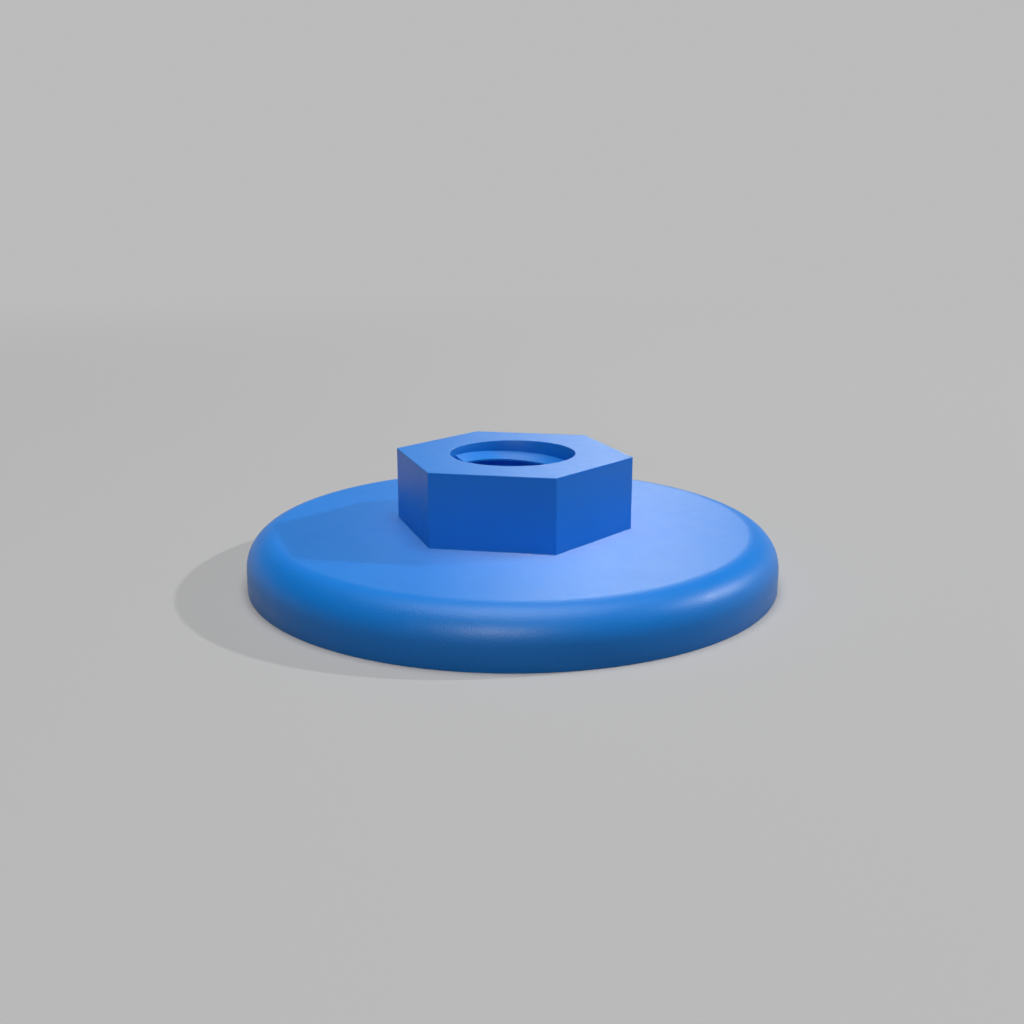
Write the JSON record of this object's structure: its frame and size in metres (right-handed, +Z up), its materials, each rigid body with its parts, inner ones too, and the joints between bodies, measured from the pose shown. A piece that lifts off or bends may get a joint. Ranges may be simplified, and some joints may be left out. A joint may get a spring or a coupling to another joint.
{
  "type": "trim clip nut",
  "caption": "Moulded plastic flanged nut with a wide round flange, a spanner hexagon and a metric internal thread, for clamping trim panels.",
  "frame": {"origin": "centre of the flange's underside, on the bore's axis", "axes": "+Z up the bore's axis from the flange to the hexagon, with two corners of the hexagon on the X axis"},
  "size_m": [0.0254, 0.0254, 0.006],
  "materials": {
    "blue_plastic": "satin"
  },
  "bodies": {
    "root": {"trim_clip_nut": "blue_plastic"}
  },
  "joints": []
}
